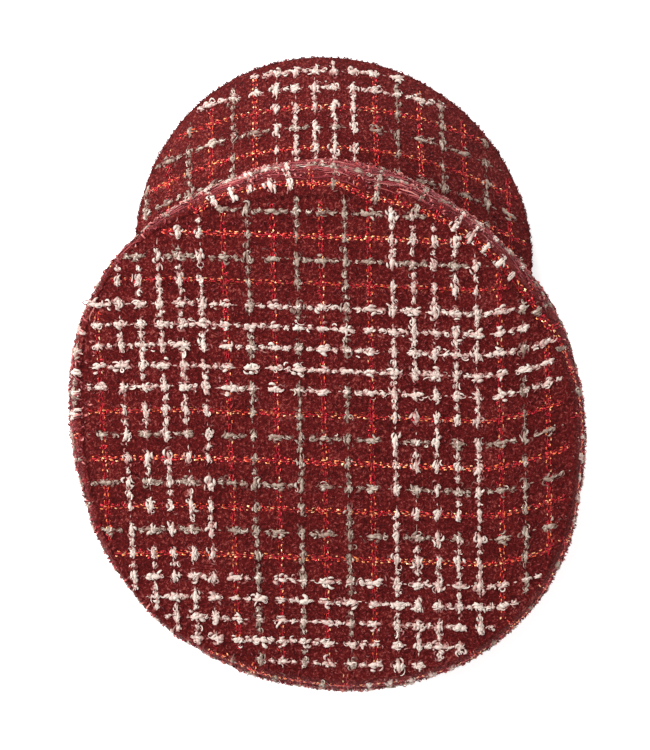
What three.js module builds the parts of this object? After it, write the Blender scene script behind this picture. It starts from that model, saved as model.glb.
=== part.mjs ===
// A soft baker boy cap in tweed: a round panel on top, a side panel that rolls over the crown's rim and turns
// in to the head opening, a head band, and a stiff peak wrapped in cloth.
// Millimetres, +Z up, the peak towards -Y. The cap lies on its band's back edge and on the sides of its peak.
import * as THREE from "three";
import { mergeVertices } from "three/addons/utils/BufferGeometryUtils.js";

// Driving dimensions, mm and degrees.
const SEAM_GAP = 0.45;              // left at the two seams of the side panel
const ROOT_GAP = 0.3;               // left between the peak and the band that it is sewn to
const BAND_HALF_WIDTH = 81;         // inside of the head opening, across
const BAND_HALF_LENGTH = 96;        // inside of the head opening, front to back: a 56 cm head
const BAND_WALL = 3;                // cloth and its turned hem
const BAND_HEIGHT = 24;
const BAND_LIFT = 32;               // the front of the band stands this far off the table
const BAND_BEND = 1.25;             // over 1: the band's lower edge leaves the table gently
const BAND_FLAT_FROM = 62;          // behind this the band's lower edge lies flat on the table
const CLOTH = 2.4;                  // lined tweed of the two crown panels
const CROWN_BACK_SHIFT = 24;        // centre of the crown behind the centre of the band
const CROWN_MIDDLE_HEIGHT = 86;     // height of the tip panel's seam at the crown's centre
const CROWN_BACK_SLOPE = 7;         // the top leans down to the back by this angle
const TIP_DOME = 5;                 // the tip panel's middle stands this far over its seam
const PEAK_RADIUS = 98;            // the peak's outline is an arc of this radius
const PEAK_ARC_FORWARD = 65;        // centre of that arc in front of the band's centre
const PEAK_ARC_HALF = 112;          // half the angle that the arc spans
const PEAK_ROOT_HALF = 80;          // half the angle of the band that the peak is sewn to
const PEAK_YAW = -1.9;              // the peak sits turned by this much on the band
const PEAK_THICK = 4.4;             // stiff board between two layers of cloth
const PEAK_ROOT_RISE = 5;           // middle of the peak's root over the band's lower edge
const PEAK_TIP_HEIGHT = 6;          // middle of the peak's front edge over the table
const PEAK_SIDE_HEIGHT = 1.8;       // the same at the sides, where the peak touches the table
const PEAK_TOUCH_AT = 0.5;          // how far along each half of the peak its edge comes down to the table
const PEAK_CROWNING = 3;            // the peak's middle bulges up between root and front edge
const PEAK_EDGE_BULGE = 1.6;        // roundness of the front edge

// How many steps each form is cut into.
const AROUND = 72;
const TIP_RINGS = 7;
const SIDE_STEPS = 12;
const BAND_STEPS = 5;
const PEAK_ALONG = 36;
const PEAK_ACROSS = 7;

// Outline of the crown in plan: a mean radius and the size of each wave around it, in mm.
// Angle 0 is the front and grows towards +X.
const RIM_OUTLINE = {
  mean: 123.4,
  waves: [
    { times: 1, cos: -1.7, sin: -0.2 },
    { times: 2, cos: 1.0, sin: 3.9 },
    { times: 3, cos: -0.2, sin: -0.4 },
    { times: 4, cos: -1.0, sin: -0.2 },
  ],
};
const SEAM_OUTLINE = {
  mean: 114.7,
  waves: [
    { times: 1, cos: -5.0, sin: 1.9 },
    { times: 2, cos: -1.4, sin: 4.5 },
    { times: 3, cos: -0.7, sin: -0.1 },
    { times: 4, cos: -2.7, sin: -0.4 },
    { times: 5, cos: 0.3, sin: -1.1 },
  ],
};

// The side panel from the tip's seam, over the rim, to the band: how far the roll and the tuck under it reach.
const ROLL = {
  frontDrop: 26,    // rim below the seam, at the front
  backDrop: 30,     // and at the back
  softness: 0.6,    // how full the roll is between seam and rim
  sag: 0.9,         // how far the roll hangs before it turns in to the band, as a share of the way down
  leastFall: 24,    // and the least height that share is taken of
  tuck: 0.55,       // how flat the cloth runs in to the band, as a share of the way in
  leastTuck: 9,
};

const HAIR = 1e-3;                  // a step small enough to stand for none
const UP = new THREE.Vector3(0, 0, 1);
const radians = THREE.MathUtils.degToRad;
const mix = THREE.MathUtils.lerp;

function outlineRadius(outline, angle) {
  return outline.waves.reduce(
    (sum, wave) => sum + wave.cos * Math.cos(wave.times * angle) + wave.sin * Math.sin(wave.times * angle),
    outline.mean,
  );
}

// A point at this angle and radius around the crown's centre, at height z.
function crownPoint(angle, radius, z) {
  return new THREE.Vector3(radius * Math.sin(angle), CROWN_BACK_SHIFT - radius * Math.cos(angle), z);
}

function topPlaneHeight(y) {
  return CROWN_MIDDLE_HEIGHT - (y - CROWN_BACK_SHIFT) * Math.tan(radians(CROWN_BACK_SLOPE));
}

function seamPoint(angle) {
  const point = crownPoint(angle, outlineRadius(SEAM_OUTLINE, angle), 0);
  point.z = topPlaneHeight(point.y);
  return point;
}

function rimPoint(angle) {
  const point = crownPoint(angle, outlineRadius(RIM_OUTLINE, angle), 0);
  const frontShare = (1 + Math.cos(angle)) / 2;
  point.z = topPlaneHeight(point.y) - mix(ROLL.backDrop, ROLL.frontDrop, frontShare);
  return point;
}

// Height of the band's lower edge: flat on the table at the back, and up to BAND_LIFT at the front.
const bandOuterLength = BAND_HALF_LENGTH + BAND_WALL;
function bandFloor(y) {
  const share = Math.max(0, (BAND_FLAT_FROM - y) / (BAND_FLAT_FROM + bandOuterLength));
  return BAND_LIFT * share ** BAND_BEND;
}

// A point on an oval this far outside the head opening, this high over the band's lower edge.
function bandPoint(angle, outside, height) {
  const x = (BAND_HALF_WIDTH + outside) * Math.sin(angle);
  const y = -(BAND_HALF_LENGTH + outside) * Math.cos(angle);
  return new THREE.Vector3(x, y, bandFloor(y) + height);
}

// The angle around the band that lies in line with the rim at this angle around the crown.
function bandAngleFacing(angle) {
  const rim = rimPoint(angle);
  return Math.atan2(rim.x / BAND_HALF_WIDTH, -rim.y / BAND_HALF_LENGTH);
}

// The side panel's middle surface: t is 0 at the tip's seam, RIM_AT at the rim and 1 on the band's top edge.
const RIM_AT = 0.4;
function sidePoint(angle, t) {
  const seam = seamPoint(angle);
  const rim = rimPoint(angle);
  const outward = new THREE.Vector3(Math.sin(angle), -Math.cos(angle), 0);
  if (t <= RIM_AT) {
    const inset = outward.dot(rim.clone().sub(seam));
    const leave = seam.clone().addScaledVector(outward, inset * ROLL.softness);
    const arrive = rim.clone().setZ(mix(rim.z, seam.z, ROLL.softness));
    return new THREE.CubicBezierCurve3(seam, leave, arrive, rim).getPoint(t / RIM_AT);
  }
  const bandAngle = bandAngleFacing(angle);
  const seat = BAND_HEIGHT + SEAM_GAP + CLOTH / 2;
  const end = bandPoint(bandAngle, 0, seat);
  const reach = Math.hypot(rim.x - end.x, rim.y - end.y);
  const leave = rim.clone().setZ(rim.z - Math.max(rim.z - end.z, ROLL.leastFall) * ROLL.sag);
  const arrive = bandPoint(bandAngle, Math.max(reach * ROLL.tuck, ROLL.leastTuck), seat);
  return new THREE.CubicBezierCurve3(rim, leave, arrive, end).getPoint((t - RIM_AT) / (1 - RIM_AT));
}

// The tip panel's middle surface: a shallow dome, t is 0 at the crown's centre and 1 just inside the seam.
function tipPoint(angle, t) {
  const radius = (outlineRadius(SEAM_OUTLINE, angle) - SEAM_GAP) * t;
  const point = crownPoint(angle, radius, 0);
  point.z = topPlaneHeight(point.y) + TIP_DOME * (1 - t ** 2);
  return point;
}

function bandSurface(angle, t) {
  return bandPoint(angle, BAND_WALL / 2, BAND_HEIGHT * t);
}

// The peak's middle surface: along is -1 to 1 from end to end, across is 0 at the band and 1 at the front edge.
function peakPoint(along, across) {
  const root = bandPoint(radians(PEAK_ROOT_HALF) * along, BAND_WALL + ROOT_GAP, PEAK_ROOT_RISE);
  const arc = radians(PEAK_ARC_HALF) * along;
  const rim = new THREE.Vector3(PEAK_RADIUS * Math.sin(arc), -PEAK_ARC_FORWARD - PEAK_RADIUS * Math.cos(arc), 0);
  const towardsTouch = Math.min(1, Math.abs(along) / PEAK_TOUCH_AT);
  const pastTouch = Math.max(0, (Math.abs(along) - PEAK_TOUCH_AT) / (1 - PEAK_TOUCH_AT));
  rim.z = mix(mix(PEAK_TIP_HEIGHT, PEAK_SIDE_HEIGHT, towardsTouch ** 2), root.z, pastTouch ** 2);
  rim.applyAxisAngle(UP, radians(PEAK_YAW));
  const point = root.lerp(rim, across);
  point.z += PEAK_CROWNING * 4 * across * (1 - across) * (1 - along ** 2);
  return point;
}

// Unit normal of a surface point(p, q), from its two tangents: it points to the cloth's outer side.
function surfaceNormal(point, p, q) {
  const along = point(p + HAIR, q).sub(point(p - HAIR, q));
  const low = Math.max(q - HAIR, 0);
  const high = Math.min(q + HAIR, 1);
  const across = point(p, high).sub(point(p, low));
  return across.cross(along).normalize();
}

// Merges a geometry's shared vertices and drops the triangles that have shrunk to a line.
function weld(geometry) {
  const bare = new THREE.BufferGeometry();
  bare.setAttribute("position", geometry.attributes.position);
  bare.setIndex(geometry.index);
  const merged = mergeVertices(bare, 1e-4);
  const kept = [];
  for (let i = 0; i < merged.index.count; i += 3) {
    const corners = [0, 1, 2].map((corner) => merged.index.getX(i + corner));
    if (new Set(corners).size === 3) kept.push(...corners);
  }
  return merged.setIndex(kept);
}

function moveVertices(geometry, place) {
  const position = geometry.attributes.position;
  const vertex = new THREE.Vector3();
  for (let i = 0; i < position.count; i++) {
    vertex.fromBufferAttribute(position, i);
    position.setXYZ(i, ...place(vertex).toArray());
  }
  geometry.computeVertexNormals();
  return geometry;
}

// A ring of cloth: a lathe whose radius over 1 is t and whose height is the side of the cloth, moved to its place.
const RING_RADIUS = 1;
function clothRing(point, steps, thickness) {
  const order = Array.from({ length: steps + 1 }, (_, i) => RING_RADIUS + i / steps);
  const inner = order.map((radius) => new THREE.Vector2(radius, -0.5));
  const outer = order.toReversed().map((radius) => new THREE.Vector2(radius, 0.5));
  const lathe = new THREE.LatheGeometry([...inner, ...outer, inner[0]], AROUND);
  return moveVertices(weld(lathe), (vertex) => {
    const t = Math.hypot(vertex.x, vertex.z) - RING_RADIUS;
    const angle = Math.atan2(vertex.x, vertex.z);
    return point(angle, t).addScaledVector(surfaceNormal(point, angle, t), vertex.y * thickness);
  });
}

// A disc of cloth, made the same way from a profile that starts and ends on the axis.
function clothDisc(point, steps, thickness) {
  const order = Array.from({ length: steps + 1 }, (_, i) => i / steps);
  const under = order.map((radius) => new THREE.Vector2(radius, -0.5));
  const over = order.toReversed().map((radius) => new THREE.Vector2(radius, 0.5));
  const lathe = new THREE.LatheGeometry([...under, ...over], AROUND);
  return moveVertices(weld(lathe), (vertex) => {
    const t = Math.hypot(vertex.x, vertex.z);
    const angle = Math.atan2(vertex.x, vertex.z);
    const normal = t < HAIR ? UP : surfaceNormal(point, angle, t);
    return point(angle, t).addScaledVector(normal, vertex.y * thickness);
  });
}

// The peak: a flat board of unit size bent to the peak's surface, with a rounded front edge.
const EDGE_LAYERS = 2;
function peakForm() {
  const board = new THREE.BoxGeometry(2, 1, 1, PEAK_ALONG, PEAK_ACROSS, EDGE_LAYERS);
  return moveVertices(weld(board), (vertex) => {
    const along = -vertex.x;
    const across = vertex.y + 0.5;
    const atRoot = across < HAIR;
    const normal = atRoot ? UP : surfaceNormal(peakPoint, along, across);
    const point = peakPoint(along, across).addScaledVector(normal, vertex.z * PEAK_THICK);
    if (across < 1 - HAIR) return point;
    const outward = peakPoint(along, 1).sub(peakPoint(along, 1 - 1 / PEAK_ACROSS)).normalize();
    return point.addScaledVector(outward, (1 - Math.abs(2 * vertex.z)) * PEAK_EDGE_BULGE);
  });
}

function piece(name, geometry, colour) {
  const cloth = new THREE.MeshStandardMaterial({ color: colour, roughness: 0.95, metalness: 0 });
  const mesh = new THREE.Mesh(geometry, cloth);
  mesh.name = name;
  return mesh;
}

const BURGUNDY = 0x6a1c26;
const DARK_BURGUNDY = 0x55141d;

const cap = new THREE.Group();
cap.add(
  piece("crown_top", clothDisc(tipPoint, TIP_RINGS, CLOTH), BURGUNDY),
  piece("crown_side", clothRing(sidePoint, SIDE_STEPS, CLOTH), BURGUNDY),
  piece("head_band", clothRing(bandSurface, BAND_STEPS, BAND_WALL), DARK_BURGUNDY),
  piece("peak", peakForm(), BURGUNDY),
);

// The part's origin is under the middle of the cap, on the table.
const box = new THREE.Box3().setFromObject(cap, true);
const middle = box.getCenter(new THREE.Vector3());
cap.position.set(-middle.x, -middle.y, -box.min.z);

export default cap;
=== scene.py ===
"""A soft baker boy cap in burgundy tweed with a white, grey and lurex check, lying on a pale floor."""
from math import cos, pi, radians, sin, tan

import bpy
import numpy as np
from mathutils import Matrix, Vector
from mathutils.bvhtree import BVHTree


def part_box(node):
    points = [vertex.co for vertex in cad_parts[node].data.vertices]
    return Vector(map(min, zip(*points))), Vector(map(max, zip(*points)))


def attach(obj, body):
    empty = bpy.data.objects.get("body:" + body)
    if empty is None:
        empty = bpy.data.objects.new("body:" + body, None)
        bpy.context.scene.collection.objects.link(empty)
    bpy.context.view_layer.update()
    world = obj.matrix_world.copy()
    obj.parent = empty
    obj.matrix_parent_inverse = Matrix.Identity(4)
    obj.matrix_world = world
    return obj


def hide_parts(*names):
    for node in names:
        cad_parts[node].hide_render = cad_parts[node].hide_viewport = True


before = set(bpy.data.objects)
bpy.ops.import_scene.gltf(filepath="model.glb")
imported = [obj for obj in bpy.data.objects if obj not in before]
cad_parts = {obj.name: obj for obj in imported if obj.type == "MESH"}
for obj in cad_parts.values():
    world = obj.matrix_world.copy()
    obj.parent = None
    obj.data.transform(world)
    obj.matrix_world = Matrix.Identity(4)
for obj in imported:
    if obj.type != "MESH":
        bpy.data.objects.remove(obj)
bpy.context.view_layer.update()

# Crown top: the round panel that closes the crown, cut from one flat piece of tweed.
# It domes a little over the head and dips where it is turned in and sewn to the side panel.
# Lengths are in mm around the middle of the head band, angle 0 is the front and grows towards +X.
MM = 0.001
CLOTH = 2.4                      # lined tweed
CROWN_BACK_SHIFT = 24            # centre of the crown behind the middle of the band
CROWN_MIDDLE_HEIGHT = 86
CROWN_BACK_SLOPE = radians(7)
TIP_DOME = 5
SEAM_GAP = 0.45
TIP_GAP = 0.05                   # the top panel's sewn edge lies against the side panel
SEAM_MEAN = 114.7
SEAM_WAVES = ((1, -5.0, 1.9), (2, -1.4, 4.5), (3, -0.7, -0.1), (4, -2.7, -0.4), (5, 0.3, -1.1))
SEAM_DIP = 0.25                  # the cloth sinks this far into the seam
SEAM_DIP_WIDTH = 2.2
# Where the seam is pulled in deeper: angle, spread and depth.
SEAM_PULLS = ((-0.94, 0.32, 2.4), (2.85, 0.4, 0.9))
TIP_GRID = 90                    # squares of the panel's mesh, side to side

band_low, band_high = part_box("head_band")
BAND_MIDDLE = np.array([(band_low[0] + band_high[0]) / 2 / MM, (band_low[1] + band_high[1]) / 2 / MM, 0.0])


def outline_radius(mean, waves, angle):
    """Radius of an outline in plan: a mean and waves of (times round, cosine part, sine part)."""
    return mean + sum(c * np.cos(k * angle) + s * np.sin(k * angle) for k, c, s in waves)


def crown_point(angle, radius, z):
    return np.stack([radius * np.sin(angle), CROWN_BACK_SHIFT - radius * np.cos(angle), z], -1)


def top_plane_height(y):
    return CROWN_MIDDLE_HEIGHT - (y - CROWN_BACK_SHIFT) * tan(CROWN_BACK_SLOPE)


def seam_dip(angle):
    return SEAM_DIP + sum(depth * np.exp(-((np.angle(np.exp(1j * (angle - at))) / spread) ** 2))
                          for at, spread, depth in SEAM_PULLS)


def tip_place(x, y):
    """Angle of a point in plan, the top panel's radius there, and the point's distance as a share of it."""
    angle = np.arctan2(x, CROWN_BACK_SHIFT - y)
    seam = outline_radius(SEAM_MEAN, SEAM_WAVES, angle) - TIP_GAP
    return angle, seam, np.hypot(x, y - CROWN_BACK_SHIFT) / seam


def tip_surface(x, y):
    """Middle of the top panel's cloth over a point in plan, at most at its seam."""
    angle, seam, share = tip_place(x, y)
    z = top_plane_height(y) + TIP_DOME * (1 - share ** 2)
    z -= seam_dip(angle) * np.exp(-(((1 - share) * seam / SEAM_DIP_WIDTH) ** 2))
    return np.stack([x, y, z], -1)


def disc_points(grid):
    """A square grid pulled to a round one: radius share and angle of each point, row by row."""
    step = np.linspace(-1, 1, grid + 1)
    u, v = np.meshgrid(step, step, indexing="ij")
    x = u * np.sqrt(1 - v ** 2 / 2)
    y = v * np.sqrt(1 - u ** 2 / 2)
    return np.hypot(x, y), np.arctan2(x, -y)


def grid_faces(rows, columns, closed=False, start=0):
    """Quads of a grid of rows by columns of points. closed joins the last column to the first."""
    index = np.arange(rows * columns).reshape(rows, columns) + start
    right = np.roll(index, -1, axis=1) if closed else index[:, 1:]
    left = index if closed else index[:, :-1]
    return np.stack([left[:-1], right[:-1], right[1:], left[1:]], -1).reshape(-1, 4)


def unit(vectors):
    return vectors / np.maximum(np.linalg.norm(vectors, axis=-1, keepdims=True), 1e-9)


def surface_normals(points, closed=False):
    """Normals of a grid of points, from the differences along its rows and columns."""
    down = np.gradient(points, axis=0)
    if closed:
        across = (np.roll(points, -1, axis=1) - np.roll(points, 1, axis=1)) / 2
    else:
        across = np.gradient(points, axis=1)
    return unit(np.cross(down, across))


def smooth_noise(points, size, seed, waves=12):
    """Sum of slow waves in fixed random directions, about -1 to 1: soft unevenness."""
    rng = np.random.default_rng(seed)
    total = np.zeros(points.shape[:-1])
    for _ in range(waves):
        direction = rng.normal(size=3)
        direction *= 2 * pi / (np.linalg.norm(direction) * size * rng.uniform(0.6, 1.6))
        total += np.sin(points @ direction + rng.uniform(0, 2 * pi))
    return total / waves ** 0.5 / 1.4


def mesh_object(name, points, faces, material, values=None):
    """A smooth object from points in mm around the band's middle. values are named numbers of its points.
    What would reach through the floor is pressed flat on it."""
    mesh = bpy.data.meshes.new(name)
    corners = faces.shape[1]
    points = np.column_stack([points[:, :2], np.maximum(points[:, 2], 0)])
    mesh.vertices.add(len(points))
    mesh.vertices.foreach_set("co", ((points + BAND_MIDDLE) * MM).astype(np.float32).ravel())
    mesh.loops.add(faces.size)
    mesh.loops.foreach_set("vertex_index", faces.astype(np.int32).ravel())
    mesh.polygons.add(len(faces))
    mesh.polygons.foreach_set("loop_start", np.arange(0, faces.size, corners, dtype=np.int32))
    for key, numbers in (values or {}).items():
        attribute = mesh.attributes.new(key, "FLOAT", "POINT")
        attribute.data.foreach_set("value", numbers.astype(np.float32).ravel())
    mesh.update(calc_edges=True)
    mesh.validate()
    mesh.shade_smooth()
    mesh.materials.append(material)
    obj = bpy.data.objects.new(name, mesh)
    bpy.context.scene.collection.objects.link(obj)
    return obj


def linear(colour):
    """A linear RGBA colour from sRGB hex."""
    parts = [int(colour[i:i + 2], 16) / 255 for i in (1, 3, 5)]
    return [c / 12.92 if c <= 0.04045 else ((c + 0.055) / 1.055) ** 2.4 for c in parts] + [1.0]


def add_node(material, kind, links=(), **settings):
    """Adds a node with its settings, and links each (socket name or number, output) to its inputs."""
    tree = material.node_tree
    node = tree.nodes.new(kind)
    inputs = settings.pop("inputs", {})
    for key, value in settings.items():
        setattr(node, key, value)
    for key, value in inputs.items():
        node.inputs[key].default_value = value
    for key, output in links:
        tree.links.new(output, node.inputs[key])
    return node


def set_ramp(node, stops):
    """Colour stops of a ramp: (place, sRGB hex)."""
    ramp = node.color_ramp
    while len(ramp.elements) < len(stops):
        ramp.elements.new(1.0)
    for element, (place, colour) in zip(ramp.elements, stops):
        element.position = place
        element.color = linear(colour)


def new_material(name, **sockets):
    """A material with these values on its shader's sockets, _ for each space in a socket's name."""
    material = bpy.data.materials.new(name)
    material.use_nodes = True
    shader = material.node_tree.nodes["Principled BSDF"]
    for key, value in sockets.items():
        shader.inputs[key.replace("_", " ")].default_value = value
    return material, shader


# Woven wool boucle: tiny loops of burgundy yarn, darker in the hollows between them and paler on the fibre
# ends on top:
# painted shade and painted highlight, as the colour follows the loops' height. The loops are a little over 1
# mm, so the cloth looks nubbly and matt, and pinkish where it curves away: the shader's sheen, and painted
# sheen along the side panel's roll.
LOOP_SIZE = 1.3                  # mm, as all these
LOOP_FIBRE = 0.55
LOOP_BEND = 2.5                  # so that the loops lie in no straight rows
WORN_PATCH = 14                  # slow changes of shade over the cloth
burgundy, shader = new_material(
    "burgundy wool boucle, woven", Roughness=0.95, IOR=1.45, Specular_IOR_Level=0.15,
    Sheen_Weight=0.2, Sheen_Roughness=0.2, Sheen_Tint=linear("#F08C86"))
place = add_node(burgundy, "ShaderNodeTexCoord").outputs["Object"]
bend = add_node(burgundy, "ShaderNodeTexNoise", [("Vector", place)],
                inputs={"Scale": 1 / (LOOP_BEND * MM), "Detail": 1.0})
bent = add_node(burgundy, "ShaderNodeVectorMath", [(0, bend.outputs["Color"])], operation="SCALE",
                inputs={"Scale": LOOP_BEND * MM})
moved = add_node(burgundy, "ShaderNodeVectorMath", [(0, place), (1, bent.outputs[0])], operation="ADD")
loops = add_node(burgundy, "ShaderNodeTexNoise", [("Vector", moved.outputs[0])],
                 inputs={"Scale": 1 / (LOOP_SIZE * MM), "Detail": 1.0, "Roughness": 0.5})
fibre = add_node(burgundy, "ShaderNodeTexNoise", [("Vector", moved.outputs[0])],
                 inputs={"Scale": 1 / (LOOP_FIBRE * MM), "Detail": 3.0, "Roughness": 0.7})
patches = add_node(burgundy, "ShaderNodeTexNoise", [("Vector", place)],
                   inputs={"Scale": 1 / (WORN_PATCH * MM), "Detail": 2.0})
height = add_node(burgundy, "ShaderNodeMath", [(0, fibre.outputs["Fac"]), (1, loops.outputs["Fac"])],
                  operation="ADD")
# Colour by height: painted shade in the hollows, painted highlight on the loop tops, with slow random
# changes of tone.
shade = add_node(burgundy, "ShaderNodeMath", [(0, patches.outputs["Fac"]), (2, height.outputs[0])],
                 operation="MULTIPLY_ADD", inputs={1: 0.3})
level = add_node(burgundy, "ShaderNodeMapRange", [("Value", shade.outputs[0])],
                 inputs={"From Min": 0.72, "From Max": 1.58})
colour = add_node(burgundy, "ShaderNodeValToRGB", [("Fac", level.outputs[0])])
set_ramp(colour, ((0.27, "#360404"), (0.42, "#4E0A0A"), (0.54, "#560D0D"), (0.67, "#651918"),
                  (0.8, "#8C433D")))
NAP_SHEEN_COLOUR = "#923037"                  # painted sheen: pale raspberry where the side panel's roll curves away
# Painted sheen: an attribute of the side panel's points mixes pale raspberry into the colour along its roll.
nap_sheen = add_node(burgundy, "ShaderNodeAttribute", attribute_name="nap_sheen")
painted_sheen = add_node(burgundy, "ShaderNodeMix", [("Factor", nap_sheen.outputs["Fac"]), ("A", colour.outputs["Color"])],
                data_type="RGBA", inputs={"B": linear(NAP_SHEEN_COLOUR)})
bump = add_node(burgundy, "ShaderNodeBump", [("Height", height.outputs[0])],
                inputs={"Strength": 0.8, "Distance": 0.9 * MM})
burgundy.node_tree.links.new(painted_sheen.outputs["Result"], shader.inputs["Base Color"])
burgundy.node_tree.links.new(bump.outputs["Normal"], shader.inputs["Normal"])

TIP_UNEVEN = 0.35                # mm, the cloth's slow unevenness, in swells of TIP_SWELL
TIP_SWELL = 22
TIP_SEED = 3
share, angle = disc_points(TIP_GRID)
radius = (outline_radius(SEAM_MEAN, SEAM_WAVES, angle) - TIP_GAP) * share
plan = crown_point(angle, radius, 0 * radius)
tip_middle = tip_surface(plan[..., 0], plan[..., 1])
tip_middle[..., 2] += TIP_UNEVEN * smooth_noise(tip_middle, TIP_SWELL, TIP_SEED) * (1 - share ** 8)
tip_normal = surface_normals(tip_middle)
tip_normal *= np.sign(tip_normal[..., 2:3])
tip_over = tip_middle + tip_normal * CLOTH / 2
tip_under = tip_middle - tip_normal * CLOTH / 2
count = TIP_GRID + 1
over_faces = grid_faces(count, count)
under_faces = grid_faces(count, count, start=count * count)[:, ::-1]
edge = np.concatenate([
    np.arange(count), np.arange(1, count) * count + count - 1,
    np.arange(count - 2, -1, -1) + count * (count - 1), np.arange(count - 2, 0, -1) * count])
after = np.roll(edge, -1)
edge_faces = np.stack([edge, after, after + count * count, edge + count * count], -1)
tip_points = np.concatenate([tip_over.reshape(-1, 3), tip_under.reshape(-1, 3)])
tip_faces = np.concatenate([over_faces, under_faces, edge_faces])
crown_top = mesh_object("crown_top_cloth", tip_points, tip_faces, burgundy)

# The check woven into the cloth: five white boucle threads, then lurex and grey threads by turns.
# The same run of threads repeats across and along the cloth, and warp and weft cross in plain weave.
THREADS = "WWWWWOGOGOGO"         # white, lurex (O) and grey
WHITE_PITCH = 9.6
LUREX_GREY_PITCH = 11.05
WHITE_LUREX_PITCH = 10.7


def thread_pitch(first, second):
    if first == second:
        return WHITE_PITCH
    return WHITE_LUREX_PITCH if "W" in (first, second) else LUREX_GREY_PITCH


REPEAT = sum(thread_pitch(THREADS[i - 1], THREADS[i]) for i in range(len(THREADS)))


def check_threads(first_white, low, high):
    """Threads between low and high as (index, kind, place); index 0 is the first white one of a group."""
    threads = []
    for turn in range(int((low - first_white) // REPEAT), int((high - first_white) // REPEAT) + 1):
        place = first_white + turn * REPEAT
        for i, kind in enumerate(THREADS):
            if low <= place <= high:
                threads.append((turn * len(THREADS) + i, kind, place))
            place += thread_pitch(kind, THREADS[(i + 1) % len(THREADS)])
    return threads


WHITE, GREY = 0, 1
# How much of a white thread shows where it passes under another.
WHITE_UNDER = {"O": 0.8, "G": 0.6, "W": 0.55}
GREY_UNDER_LUREX = 0.8


def check_floats(warp, weft, inside):
    """Where threads show: (across, along, 1 for weft, kind, size) for each crossing inside the panel.
    The thick white thread also shows, smaller, where another thread crosses over it."""
    floats = []
    for i, warp_kind, across in warp:
        for j, weft_kind, along in weft:
            if not inside(across, along):
                continue
            weft_on_top = (i + j) % 2
            over, under = (weft_kind, warp_kind) if weft_on_top else (warp_kind, weft_kind)
            floats.append((across, along, weft_on_top, "WGO".index(over), 1.0))
            if under == "W":
                floats.append((across, along, 1 - weft_on_top, WHITE, WHITE_UNDER[over]))
            elif under == "G" and over == "O":
                floats.append((across, along, 1 - weft_on_top, GREY, GREY_UNDER_LUREX))
    return np.array(floats)


BETWEEN_SHARE = 0.6              # of the places between crossings where the thread shows again
BETWEEN_SIZES = (0.3, 0.6)


def between_knots(rng, warp, weft, inside):
    """Smaller knots of the white and grey threads between their crossings, rows as in check_floats."""
    knots = []
    for threads, others, is_weft in ((warp, weft, 0), (weft, warp, 1)):
        middles = [(first[2] + second[2]) / 2 for first, second in zip(others, others[1:])]
        for _, kind, place in threads:
            for middle in middles if kind != "O" else ():
                across, along = (middle, place) if is_weft else (place, middle)
                if inside(across, along) and rng.random() < BETWEEN_SHARE:
                    knots.append((across, along, is_weft, "WG".index(kind), rng.uniform(*BETWEEN_SIZES)))
    return np.array(knots)


def tubes(paths, radii, sides, lift):
    """Thin tubes along paths [strand, step, xyz], with a radius and a lift for each [strand, step]."""
    count, steps = paths.shape[:2]
    tangent = unit(np.gradient(paths, axis=1))
    side = np.cross(tangent[:, 0], np.array([0.31, 0.42, 0.85]))
    frames = []
    for step in range(steps):
        side = unit(side - (side * tangent[:, step]).sum(-1, keepdims=True) * tangent[:, step])
        frames.append((side, np.cross(tangent[:, step], side)))
    first = np.stack([f[0] for f in frames], 1)[:, :, None]
    second = np.stack([f[1] for f in frames], 1)[:, :, None]
    turn = np.arange(sides) * 2 * pi / sides
    ring = np.cos(turn)[:, None] * first + np.sin(turn)[:, None] * second
    points = paths[:, :, None] + ring * radii[:, :, None, None]
    index = np.arange(count * steps * sides).reshape(count, steps, sides)
    after = np.roll(index, -1, axis=2)
    faces = np.stack([index[:, :-1], after[:, :-1], after[:, 1:], index[:, 1:]], -1).reshape(-1, 4)
    return points.reshape(-1, 3), faces, np.repeat(lift, sides)


def ribbons(paths, facing, half_widths, lift):
    """Flat strips along paths [strand, step, xyz] that face the given directions."""
    side = unit(np.cross(np.gradient(paths, axis=1), facing)) * half_widths[..., None]
    points = np.stack([paths - side, paths + side], 2)
    index = np.arange(points.size // 3).reshape(points.shape[:3])
    left, right = index[..., 0], index[..., 1]
    faces = np.stack([left[:, :-1], right[:, :-1], right[:, 1:], left[:, 1:]], -1).reshape(-1, 4)
    return points.reshape(-1, 3), faces, np.repeat(lift, 2)


def raised(lay, a, b, up):
    """Points at heights up over the places (a, b) of the cloth, and the cloth's normals there."""
    points, normals = lay(a, b)
    return points + normals * up[..., None], normals


def raised_along(floats, lay, along, across, up):
    """The same for distances along and across the threads of floats."""
    weft = floats[:, 2:3] > 0
    return raised(lay, floats[:, 0:1] + np.where(weft, along, across),
                  floats[:, 1:2] + np.where(weft, across, along), up)


def wander(rng, count, s, slow, fast):
    """Smooth random swing along strands, about -1 to 1."""
    swing = [np.sin(s * rng.uniform(*speed, (count, 1)) + rng.uniform(0, 2 * pi, (count, 1)))
             for speed in (slow, fast)]
    return 0.62 * swing[0] + 0.38 * swing[1]


def float_cores(rng, floats, lay, length, radius):
    """The thick lumpy middle of each knot, half sunk in the cloth."""
    steps, sides = 7, 6
    count = len(floats)
    size = floats[:, 4:5]
    s = np.linspace(-1, 1, steps)[None]
    along = 0.4 * length * size * s
    across = 0.4 * wander(rng, count, s, (1, 2.5), (3, 5))
    lumps = 0.3 * wander(rng, count, s, (3, 5), (6, 9))
    radii = radius * size ** 0.5 * (0.85 + lumps) * np.sqrt(1 - 0.9 * s ** 2)
    up = 0.15 * radius + 0.25 * wander(rng, count, s, (2, 4), (5, 8))
    paths, _ = raised_along(floats, lay, along, across, up)
    tone = rng.normal(0, 0.1, (count, 1))
    # Colour lower at the ends, where the core sinks into the cloth, and higher on its lumps: painted shade
    # and painted highlight, with a random tone per knot.
    return tubes(paths, radii, sides, 0.62 - 0.3 * s ** 2 + 0.5 * lumps + tone)


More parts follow.
